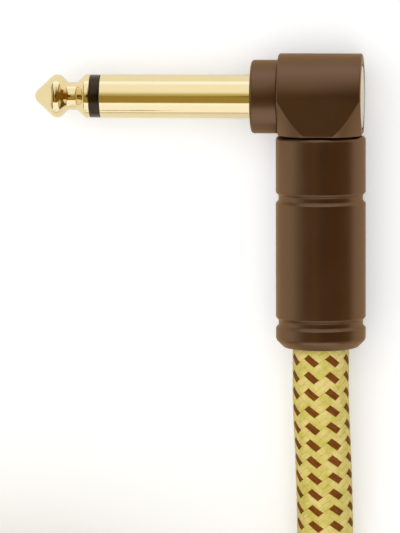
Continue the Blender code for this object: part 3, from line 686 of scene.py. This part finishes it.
def barrels():
    """The two screw-on barrels, each with two grooves and a bevelled mouth."""

    def groove(middle):
        floor = BARREL_RADIUS - GROOVE_DEPTH
        return [
            (BARREL_RADIUS, middle - GROOVE_HALF, 0.2 * MM),
            (floor, middle - GROOVE_FLOOR_HALF, 0.25 * MM),
            (floor, middle + GROOVE_FLOOR_HALF, 0.25 * MM),
            (BARREL_RADIUS, middle + GROOVE_HALF, 0.2 * MM),
        ]

    shell = turned(
        "barrel",
        [
            (BARREL_BORE_RADIUS, BARREL_START, 0.2 * MM),
            (BARREL_RADIUS, BARREL_START, 0.9 * MM),
            *groove(UPPER_GROOVE),
            *groove(LOWER_GROOVE),
            (BARREL_RADIUS, BARREL_END - 1.2 * MM, 0.8 * MM),
            (BARREL_RADIUS - 1.2 * MM, BARREL_END, 0.7 * MM),
            (MOUTH_RADIUS, BARREL_END, 0.2 * MM),
            (MOUTH_RADIUS, MOUTH_START, 0),
            (BARREL_BORE_RADIUS, MOUTH_START, 0),
        ],
        BROWN,
    )
    for prefix, _, axis in PLUGS:
        fitted(
            shell,
            prefix + "barrel_shell",
            axis,
            prefix + "barrel",
            "brown_satin",
            prefix + "barrel",
        )
    used_up(shell)


def threaded_spigot():
    """The stub that a barrel screws onto, along Z from inside the shell that it stands on."""
    root = SPIGOT_RADIUS - THREAD_DEPTH
    spigot = turned(
        "spigot",
        [
            (0, HEAD_FOOT - MM, 0),
            (root, HEAD_FOOT - MM, 0),
            (root, SPIGOT_END, 0.2 * MM),
            (0, SPIGOT_END, 0),
        ],
        BROWN,
    )
    start = HEAD_FOOT + 0.5 * MM
    turns = int((SPIGOT_END - start) / THREAD_PITCH - 1)
    sunk = root - 0.15 * MM
    section = ((sunk, 0.02), (SPIGOT_RADIUS, 0.43), (SPIGOT_RADIUS, 0.55), (sunk, 0.96))
    ridge = wire("ridge", [(r, 0, start + THREAD_PITCH * part) for r, part in section])
    choose_points(ridge, lambda p: abs(p.x - sunk) < WELD)
    bpy.ops.mesh.edge_face_add()
    stop_editing()
    winding = ridge.modifiers.new("winding", "SCREW")
    winding.axis = "Z"
    winding.screw_offset = THREAD_PITCH
    winding.iterations = turns
    winding.steps = winding.render_steps = 72
    winding.use_smooth_shade = False
    bpy.ops.object.modifier_apply(modifier=winding.name)
    start_editing(ridge)
    bpy.ops.mesh.select_all(action="SELECT")
    bpy.ops.mesh.remove_doubles(threshold=WELD)
    bpy.ops.mesh.fill_holes(sides=8)
    bpy.ops.mesh.select_all(action="SELECT")
    bpy.ops.mesh.normals_make_consistent(inside=False)
    stop_editing()
    run_out = THREAD_PITCH * 0.7
    last = start + THREAD_PITCH * (turns + 0.96)
    for point in ridge.data.vertices:
        place = point.co
        share = min((place.z - start) / run_out, (last - place.z) / run_out, 1)
        limit = sunk + (SPIGOT_RADIUS - sunk) * max(share, 0)
        radius = math.hypot(place.x, place.y)
        if radius > limit:
            place.x *= limit / radius
            place.y *= limit / radius
    shaped_by(spigot, ridge, "UNION")
    return spigot


def angle_head():
    """The head of the angled plug: an arch along the pin, with its corners turned off."""
    deselect()
    bpy.ops.mesh.primitive_circle_add(
        vertices=TURNED_STEPS, radius=HEAD_HALF, location=(0, 0, HOUSING_START)
    )
    head = just_added("head")
    bpy.ops.object.transform_apply(location=True)
    bpy.ops.object.mode_set(mode="EDIT")
    choose_points(head, lambda p: p.x > WELD)
    bpy.ops.mesh.delete(type="VERT")
    choose_points(head, lambda p: abs(p.x) < WELD)
    bpy.ops.mesh.extrude_vertices_move(TRANSFORM_OT_translate={"value": (HEAD_FOOT, 0, 0)})
    bpy.ops.mesh.select_all(action="SELECT")
    bpy.ops.mesh.edge_face_add()
    bpy.ops.mesh.select_all(action="SELECT")
    bpy.ops.mesh.extrude_region_move(
        TRANSFORM_OT_translate={"value": (0, 0, HEAD_LENGTH)}
    )
    bpy.ops.mesh.select_all(action="SELECT")
    bpy.ops.mesh.normals_make_consistent(inside=False)
    head_end = HOUSING_START + HEAD_LENGTH
    ends = (HOUSING_START, head_end)

    def on_rim(a, b):
        along_end = any(abs(a.z - end) < WELD and abs(b.z - end) < WELD for end in ends)
        return along_end or min(a.x, b.x) > HEAD_FOOT - WELD

    choose_edges(head, on_rim)
    bpy.ops.mesh.bevel(offset=EDGE_ROUND, segments=5, affect="EDGES", clamp_overlap=False)
    stop_editing()

    far = HEAD_FOOT - HEAD_HALF - 8 * MM
    corners = turned(
        "corners",
        [
            (0, far, 0),
            (BARREL_RADIUS + CONE_GROWTH * (HEAD_FOOT - far), far, 0),
            (BARREL_RADIUS, HEAD_FOOT, EDGE_ROUND),
            (0, HEAD_FOOT + 0.4 * MM, 0),
        ],
        BROWN,
        2 * TURNED_STEPS,
    )
    corners.matrix_world = ACROSS
    shaped_by(head, corners, "INTERSECT")

    spigot = threaded_spigot()
    spigot.matrix_world = ACROSS
    shaped_by(head, spigot, "UNION")
    for cutter in (
        cylinder("cavity", CAVITY_RADIUS, FLANGE_START - SEAT_GAP, head_end + MM),
        cylinder("seat", CAP_SEAT_RADIUS, head_end - CAP_SEAT_DEPTH, head_end + MM),
        cylinder("hole", PIN_RADIUS + SEAT_GAP, HOUSING_START - MM, FLANGE_START),
        cylinder("bore", SPIGOT_BORE_RADIUS, 0, SPIGOT_END + MM, across=True),
    ):
        shaped_by(head, cutter, "DIFFERENCE")
    head.data.materials.append(BROWN)
    smoothed(head, math.radians(14))
    fitted(head, "angle_head", ANGLE_PIN, HEADS, "brown_satin", "angle_head_housing")
    used_up(head)


def angle_cap():
    """The gold disc in the back of the head, turned with shallow steps."""
    end = HOUSING_START + HEAD_LENGTH
    cap = turned(
        "cap",
        [
            (0, end - CAP_LENGTH, 0),
            (CAP_RADIUS, end - CAP_LENGTH, 0),
            (CAP_RADIUS, end, 0.35 * MM),
            (CAP_RADIUS * 0.62, end + 0.05 * MM, 0.3 * MM),
            (CAP_RADIUS * 0.58, end + 0.12 * MM, 0.2 * MM),
            (0, end + 0.15 * MM, 0),
        ],
        GOLD,
    )
    fitted(cap, "angle_cap", ANGLE_PIN, HEADS, "gold_plate", "angle_rear_cap")
    used_up(cap)


def straight_body():
    """The straight plug's body: a ring behind the collar, and the spigot."""
    start = HOUSING_START
    flange_end = STRAIGHT_CROSSING_AT + HEAD_FOOT
    spigot_end = STRAIGHT_CROSSING_AT + SPIGOT_END
    wall_end = FLANGE_START - SEAT_GAP
    body = turned(
        "body",
        [
            (0, start, 0),
            (BARREL_RADIUS, start, EDGE_ROUND),
            (BARREL_RADIUS, flange_end, EDGE_ROUND),
            (0, flange_end, 0),
        ],
        BROWN,
    )
    spigot = threaded_spigot()
    spigot.location.z = STRAIGHT_CROSSING_AT
    shaped_by(body, spigot, "UNION")
    for cutter in (
        cylinder("hole", PIN_RADIUS + SEAT_GAP, start - MM, wall_end + MM),
        cylinder("bore", SPIGOT_BORE_RADIUS, wall_end, spigot_end + MM),
    ):
        shaped_by(body, cutter, "DIFFERENCE")
    smoothed(body, math.radians(20))
    fitted(body, "straight_shell", STRAIGHT_PIN, HEADS, "brown_satin", "straight_body")
    used_up(body)


# ---- Cable ------------------------------------------------------------------------------

# Routes of the cable's two free stretches, in metres: the lead's from the crossing of the
# angled plug's axes, the tail's from the middle of the coil's top layer
COIL_MIDDLE = Vector((CROSSING.x - COIL_OUTER_RADIUS, CROSSING.y - COIL_DISTANCE, 0))
COIL_TOP = CABLE_RADIUS + (COIL_LAYERS - 1) * COIL_LAYER_PITCH
STRAIGHT_RISE = CABLE_RADIUS + SEAT_GAP + BARREL_RADIUS
LEAD_ROUTE = (
    (0.0, -COVER_START, 0.0),
    (0.0, -0.0360, 0.0),
    (0.0, -0.0445, -0.00003),
    (0.0003, -0.0525, -0.00043),
    (0.0005, -0.0620, -0.00135),
    (0.0005, -0.0730, -0.00210),
    (0.0003, -0.0880, -0.00237),
    (0.0, -0.1040, -0.00243),
    (0.0, -COIL_DISTANCE + 2 * CABLE_RADIUS, CABLE_RADIUS - BARREL_RADIUS),
)
TAIL_ROUTE = (
    (2 * CABLE_RADIUS, COIL_OUTER_RADIUS, 0.0),
    (0.0167, 0.0551, 0.0001),
    (0.0320, 0.0500, 0.0016),
    (0.0448, 0.0380, 0.0038),
    (0.0522, 0.0220, 0.0060),
    (0.0545, 0.0040, 0.0077),
    (0.0522, -0.0150, 0.0088),
    (0.0440, -0.0300, 0.0096),
    (0.0320, -0.0380, 0.0104),
    (0.0200, STRAIGHT_MOUTH[1], 0.0109),
    (*STRAIGHT_MOUTH, STRAIGHT_RISE),
    (STRAIGHT_MOUTH[0] - BARREL_END + COVER_START, STRAIGHT_MOUTH[1], STRAIGHT_RISE),
)


def smooth_route(points, step):
    """Points about a step apart on a smooth curve through the given ones."""
    points = np.array(points)
    padded = np.vstack((2 * points[0] - points[1], points, 2 * points[-1] - points[-2]))
    route = [points[0]]
    for before, start, end, after in zip(padded, padded[1:], padded[2:], padded[3:]):
        count = max(1, round(np.linalg.norm(end - start) / step))
        for t in np.arange(1, count + 1) / count:
            route.append(
                0.5
                * (
                    2 * start
                    + (end - before) * t
                    + (2 * before - 5 * start + 4 * end - after) * t**2
                    + (3 * start - before - 3 * end + after) * t**3
                )
            )
    return np.array(route)


def rounded_reversal(turns_past):
    """The turns from a reversal, rounded off where the spiral turns back."""
    half = COIL_CLIMB / 2
    away = abs(turns_past)
    return away if away > half else (turns_past**2 + half**2) / (2 * half)


def coil_point(turn):
    """Where the coil's middle line is, so many turns from its start at +X, clockwise."""
    leg = COIL_TURNS / COIL_LAYERS
    nearest = min(max(round(turn / leg), 0), COIL_LAYERS)
    past = turn - nearest * leg
    away = abs(past) if nearest in (0, COIL_LAYERS) else rounded_reversal(past)
    if nearest % 2:
        radius = COIL_OUTER_RADIUS + COIL_TURN_PITCH * (away - leg)
    else:
        radius = COIL_OUTER_RADIUS - COIL_TURN_PITCH * away
    climbed = 0.0
    for reversal in range(1, COIL_LAYERS):
        part = min(max((turn - reversal * leg) / COIL_CLIMB + 0.5, 0.0), 1.0)
        climbed += part * part * (3 - 2 * part)
    height = CABLE_RADIUS + COIL_LAYER_PITCH * climbed
    angle = -math.tau * turn
    return COIL_MIDDLE + Vector((radius * math.cos(angle), radius * math.sin(angle), height))


def cable_line():
    """The middle line of the whole cable, in points about 2 mm apart."""
    count = round(COIL_TURNS * COIL_POINTS)
    loops = np.array([coil_point(COIL_TURNS * i / count) for i in range(count + 1)])
    lead = smooth_route([Vector(p) + CROSSING for p in LEAD_ROUTE], 2 * MM)
    top_middle = COIL_MIDDLE + Vector((0, 0, COIL_TOP))
    tail = smooth_route([Vector(p) + top_middle for p in TAIL_ROUTE], 2 * MM)
    return np.vstack((lead, loops, tail))


FINE_ROUND = 160
COARSE_ROUND = 32
FINE_FROM = 8.0 * MM  # from the cover's start
FINE_TO = 42.0 * MM
FINE_STEP = BRAID_TURN / STRANDS / 10
COARSE_STEP = 3.6 * MM
RELIEF = 0.07 * MM
LEVEL = 0.6  # the height of the weave that lies at the cable's radius


def weave_height(round_, along):
    """The height of the woven surface, lowest in its creases and 1 at a strand's top."""
    falling = STRANDS * (along - round_) + OUT_PHASE
    rising = STRANDS * (along + round_) + BACK_PHASE
    falling_strand, rising_strand = np.floor(falling), np.floor(rising)
    on_top = np.mod(rising_strand - falling_strand, WEAVE_REPEAT) < 1.5
    across = np.where(on_top, falling - falling_strand, rising - rising_strand)
    floated = np.where(
        on_top, rising - falling_strand, falling - rising_strand + WEAVE_REPEAT - 1
    )
    hump = ENDS_LOW + (1 - ENDS_LOW) * np.sin(np.mod(floated, WEAVE_REPEAT) * math.pi / 2)
    return hump * np.sqrt(1 - (STRAND_SHARE * (2 * across - 1)) ** 2)


def cover_stations():
    """Where the cover's rings go: how far along, their middles, and their own axes."""
    line = cable_line()
    lengths = np.concatenate(([0], np.cumsum(np.linalg.norm(np.diff(line, axis=0), axis=1))))
    total = lengths[-1]
    stations = [
        *np.linspace(0, FINE_FROM, 5)[:-1],
        *np.arange(FINE_FROM, FINE_TO, FINE_STEP),
        *np.linspace(FINE_TO, total, round((total - FINE_TO) / COARSE_STEP)),
    ]
    stations = np.array(stations)
    centres = np.stack([np.interp(stations, lengths, line[:, i]) for i in range(3)], axis=1)
    headings = np.gradient(centres, stations, axis=0)
    headings /= np.linalg.norm(headings, axis=1)[:, None]
    ups = [np.array((0.0, 0.0, 1.0))]
    for heading in headings[1:]:
        up = ups[-1] - heading * np.dot(ups[-1], heading)
        ups.append(up / np.linalg.norm(up))
    return stations, centres, headings, ups


def woven_cable():
    """The cable's cover, with its strands in relief where it leaves the angled plug."""
    stations, centres, headings, ups = cover_stations()
    places, rings = [], []  # a ring is its first place, its number of places, and how far along
    for centre, heading, up, station in zip(centres, headings, ups, stations):
        fine = FINE_FROM <= station <= FINE_TO
        count = FINE_ROUND if fine else COARSE_ROUND
        rounds = np.arange(count) / count
        angles = math.tau * rounds
        right = np.cross(heading, up)
        along = station / BRAID_TURN
        radius = np.full(count, CABLE_RADIUS)
        if fine:
            radius += RELIEF * (weave_height(rounds, along) - LEVEL)
        outward = np.outer(np.cos(angles), up) - np.outer(np.sin(angles), right)
        rings.append((len(places), count, along))
        places.extend(centre + radius[:, None] * outward)

    faces, corners_uv = [], []

    def add_face(*corners):
        faces.append([place for place, _, _ in corners])
        corners_uv.extend((r, along) for _, r, along in corners)

    def stretch(ring, i, wide):
        """The corners of a ring along stretch i of so many."""
        first, count, along = ring
        per = count // wide
        steps = range(i * per, i * per + per + 1)
        return [(first + step % count, step / count, along) for step in steps]

    for ring, next_ring in zip(rings, rings[1:]):
        wide = min(ring[1], next_ring[1])
        per, next_per = ring[1] // wide, next_ring[1] // wide
        for i in range(wide):
            near_edge, far_edge = stretch(ring, i, wide), stretch(next_ring, i, wide)
            if per == next_per:
                add_face(near_edge[0], near_edge[1], far_edge[1], far_edge[0])
            elif per < next_per:
                half = next_per // 2
                for k in range(next_per):
                    add_face(near_edge[0 if k < half else 1], far_edge[k + 1], far_edge[k])
                add_face(near_edge[0], near_edge[1], far_edge[half])
            else:
                half = per // 2
                for k in range(per):
                    add_face(near_edge[k], near_edge[k + 1], far_edge[0 if k < half else 1])
                add_face(near_edge[half], far_edge[1], far_edge[0])
    for (first, count, along), flip in ((rings[0], True), (rings[-1], False)):
        middle = len(places)
        places.append(centres[0] if flip else centres[-1])
        for i in range(count):
            a = (first + i, i / count, along)
            b = (first + (i + 1) % count, (i + 1) / count, along)
            m = (middle, (i + 0.5) / count, along)
            add_face(*((b, a, m) if flip else (a, b, m)))

    mesh = bpy.data.meshes.new("woven_cable")
    mesh.from_pydata([tuple(p) for p in places], [], faces)
    weave = mesh.uv_layers.new(name="weave")
    weave.data.foreach_set("uv", np.array(corners_uv, np.float32).ravel())
    mesh.update()
    mesh.materials.append(TWEED)
    mesh.shade_smooth()
    cover = bpy.data.objects.new("woven_cable", mesh)
    bpy.context.scene.collection.objects.link(cover)
    start_editing(cover)
    bpy.ops.mesh.select_all(action="SELECT")
    bpy.ops.mesh.normals_make_consistent(inside=False)
    stop_editing()
    # The coil lies outside the picture, and the pin doesn't mirror it
    cover.visible_glossy = False
    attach(cover, HEADS)
    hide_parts("cable_lead", "cable_coil", "cable_tail")
    return cover, centres, stations[-1]


def kept_nodes():
    """Gives the inner pieces of the frame their finishes."""
    finishes = {
        "insulating_washer": INSULATOR,
        "ground_terminal": BRASS,
        "tip_terminal": BRASS,
        "liner": BLACK,
        "cable_chuck": BLACK,
        "jacket_end": BLACK,
        "shield_end": COPPER,
        "core_insulation": CORE,
        "core_wire": COPPER,
        "shield_pigtail": COPPER,
    }
    for prefix, _, _ in PLUGS:
        for name, finish in finishes.items():
            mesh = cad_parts[prefix + name].data
            mesh.materials.clear()
            mesh.materials.append(finish)


# ---- Camera, light and floor --------------------------------------------------------------


CAMERA_PLACE = Vector((0.0651, 0.0660, 0.700))
CAMERA_TARGET = Vector((0.00009, -0.00976, CROSSING.z))
CAMERA_ROLL = -0.0035
FOCAL_PIXELS = 4795  # in an image 533 pixels high
SENSOR = 36  # in millimetres, along the picture's longer side


def photo_camera():
    """The camera, aimed from above with the pin across the picture and the barrel down it."""
    back = (CAMERA_PLACE - CAMERA_TARGET).normalized()
    level = Vector((0, 1, 0)).cross(back).normalized()
    upright = back.cross(level)
    right = level * math.cos(CAMERA_ROLL) + upright * math.sin(CAMERA_ROLL)
    up = back.cross(right)
    lens = bpy.data.cameras.new("photo_camera")
    lens.lens = FOCAL_PIXELS * SENSOR / 533
    lens.sensor_width = SENSOR
    lens.clip_start = 0.01
    lens.clip_end = 20
    camera = bpy.data.objects.new("photo_camera", lens)
    turn = Matrix((right, up, back)).transposed().to_4x4()
    camera.matrix_world = Matrix.Translation(CAMERA_PLACE) @ turn
    bpy.context.scene.collection.objects.link(camera)
    bpy.context.scene.camera = camera


# The light tent's colours by angle in degrees, overhead being 0. It has an opening from
# front to back, which the gold pin and the head mirror, and walls to the left and right.
OPENING = (
    (-90, (1.14, 1.18, 1.36)),
    (-47, (1.14, 1.18, 1.36)),
    (-43, (1.25, 1.28, 1.50)),
    (-34, (1.25, 1.28, 1.50)),
    (-31, (0.38, 0.28, 0.07)),
    (5, (0.38, 0.28, 0.07)),
    (8, (0.60, 0.52, 0.25)),
    (14, (0.62, 0.54, 0.27)),
    (19, (0.82, 0.76, 0.58)),
    (24, (0.97, 0.95, 0.86)),
    (28, (1.05, 1.07, 1.12)),
    (68, (1.06, 1.08, 1.14)),
    (74, (1.20, 1.27, 1.62)),
    (90, (1.20, 1.27, 1.62)),
)
WALLS = (
    (-90, (1.00, 1.00, 0.95)),
    (-68, (1.00, 1.00, 0.95)),
    (-60, (0.55, 0.53, 0.47)),
    (-45, (0.50, 0.48, 0.42)),
    (-42, (0.12, 0.09, 0.04)),
    (42, (0.12, 0.09, 0.04)),
    (45, (0.70, 0.55, 0.20)),
    (64, (0.78, 0.62, 0.24)),
    (70, (0.16, 0.08, 0.01)),
    (90, (0.16, 0.08, 0.01)),
)
OPENING_EDGE = (36.0, 38.0)  # to each side, where the walls take over
# Dark cloths overhead on both sides of the slice that the pin mirrors, for the brown pieces
CLOTHS = ((-34, -16), (-1.5, 90))
CLOTH_FRONT = -32
CLOTH_BACK = 24
CLOTH_FADE = 36
CLOTH_COLOUR = (0.20, 0.10, 0.01, 1)
LENS_EDGE = (10, 11)  # round the camera
LENS_COLOUR = (0.02, 0.015, 0.01, 1)
PLAIN_LIGHT = (0.58, 0.58, 0.58, 1)  # on what doesn't mirror the tent, about its mean
WHITE = (1, 1, 1, 1)


def sky_ramp(tree, angle, stops):
    """Colours by an angle in degrees, from -90 to 90, overhead being 0."""
    share = node(tree, "MapRange", {0: angle, 1: -90.0, 2: 90.0}).outputs[0]
    made = node(tree, "ValToRGB", {0: share})
    elements = made.color_ramp.elements
    for degrees, _ in stops[1:-1]:
        elements.new((degrees + 90) / 180)
    for element, (_, colour) in zip(elements, stops):
        element.color = (*colour, 1)
    return made.outputs[0]


def between(tree, angle, start, end, fade):
    """1 where an angle is between two, with a fade past the second."""
    rise = node(tree, "MapRange", {0: angle, 1: start - 0.5, 2: start + 0.5}).outputs[0]
    fall = node(tree, "MapRange", {0: angle, 1: end + fade, 2: end}).outputs[0]
    return maths(tree, "MULTIPLY", rise, fall)


def studio_world():
    """A light tent for the reflections, plain light for the rest, and a white background."""
    world = bpy.data.worlds.new("light_tent")
    world.use_nodes = True
    tree = world.node_tree
    tree.nodes.clear()
    way = node(tree, "TexCoord").outputs["Generated"]
    parts = node(tree, "SeparateXYZ", {0: way}).outputs
    to_degrees = 180 / math.pi
    across = maths(tree, "MULTIPLY", maths(tree, "ARCTAN2", parts[1], parts[2]), to_degrees)
    sideways = maths(tree, "MULTIPLY", maths(tree, "ARCSINE", parts[0]), to_degrees)
    off_middle = maths(tree, "ABSOLUTE", sideways)
    edge, wall = OPENING_EDGE
    in_opening = node(tree, "MapRange", {0: off_middle, 1: edge, 2: wall, 3: 1.0, 4: 0.0})
    opening, walls = sky_ramp(tree, across, OPENING), sky_ramp(tree, sideways, WALLS)
    tent = mixed(tree, in_opening.outputs[0], walls, opening)
    in_depth = between(tree, across, CLOTH_FRONT, CLOTH_BACK, CLOTH_FADE)
    for left, right in CLOTHS:
        cloth = maths(tree, "MULTIPLY", in_depth, between(tree, sideways, left, right, 1))
        tent = mixed(tree, cloth, tent, CLOTH_COLOUR)
    to_camera = tuple((CAMERA_PLACE - CROSSING).normalized())
    toward = node(tree, "VectorMath", {0: way, 1: to_camera}, operation="DOT_PRODUCT")
    inner, outer = (math.cos(math.radians(degrees)) for degrees in LENS_EDGE)
    in_lens = node(tree, "MapRange", {0: toward.outputs["Value"], 1: outer, 2: inner})
    tent = mixed(tree, in_lens.outputs[0], tent, LENS_COLOUR)
    path = node(tree, "LightPath").outputs
    seen = mixed(tree, path["Is Glossy Ray"], PLAIN_LIGHT, tent)
    seen = mixed(tree, path["Is Camera Ray"], seen, WHITE)
    background = node(tree, "Background", {0: seen, 1: 1.0})
    node(tree, "OutputWorld", {0: background.outputs[0]})
    bpy.context.scene.world = world


LAMP_PLACE = (-0.5, 0.1, 1.6)
LAMP_SIZE = 2.6
LAMP_WATTS = 21.0
FLOOR_SIZE = 3.0
FLOOR_GLOW_SEEN = 0.27  # lifts the paper to white, and not the light on the object
FLOOR_GLOW_MIRRORED = 0.12


def soft_lamp():
    """A wide soft lamp high over the table, a little to the left, which nothing mirrors."""
    lamp = bpy.data.lights.new("soft_lamp", "AREA")
    lamp.shape = "SQUARE"
    lamp.size = LAMP_SIZE
    lamp.energy = LAMP_WATTS
    lit = bpy.data.objects.new("soft_lamp", lamp)
    lit.location = LAMP_PLACE
    lit.visible_glossy = False
    bpy.context.scene.collection.objects.link(lit)


def studio_floor():
    """A sheet of pale paper, which keeps the cable's shadow."""
    deselect()
    bpy.ops.mesh.primitive_plane_add(size=FLOOR_SIZE, location=(0, 0, 0))
    floor = just_added("studio_floor")
    finish, tree, shader = new_finish("studio_paper")
    fibre = noise(tree, node(tree, "TexCoord").outputs["Object"], 900.0, 3.0)
    shade = mixed(tree, fibre, (0.86, 0.86, 0.86, 1), (0.88, 0.88, 0.88, 1))
    tree.links.new(shade, shader.inputs["Base Color"])
    shader.inputs["Roughness"].default_value = 0.9
    path = node(tree, "LightPath").outputs
    glow = maths(tree, "MULTIPLY", path["Is Glossy Ray"], FLOOR_GLOW_MIRRORED)
    glow = maths(tree, "MULTIPLY_ADD", path["Is Camera Ray"], FLOOR_GLOW_SEEN, glow)
    shader.inputs["Emission Color"].default_value = (1, 1, 1, 1)
    tree.links.new(glow, shader.inputs["Emission Strength"])
    floor.data.materials.append(finish)


# ---- The scene --------------------------------------------------------------------------


photo_camera()
studio_world()
soft_lamp()
studio_floor()
cover, cable_centres, cable_length = woven_cable()
pin_tips()
pin_rings()
pin_sleeves()
collars()
barrels()
angle_head()
angle_cap()
straight_body()
kept_nodes()
# The straight plug lies outside the picture, and the pin doesn't mirror it
for name in ("straight_collar", "straight_shell", "straight_barrel_shell"):
    bpy.data.objects[name].visible_glossy = False

bpy.context.scene.view_settings.view_transform = "Standard"
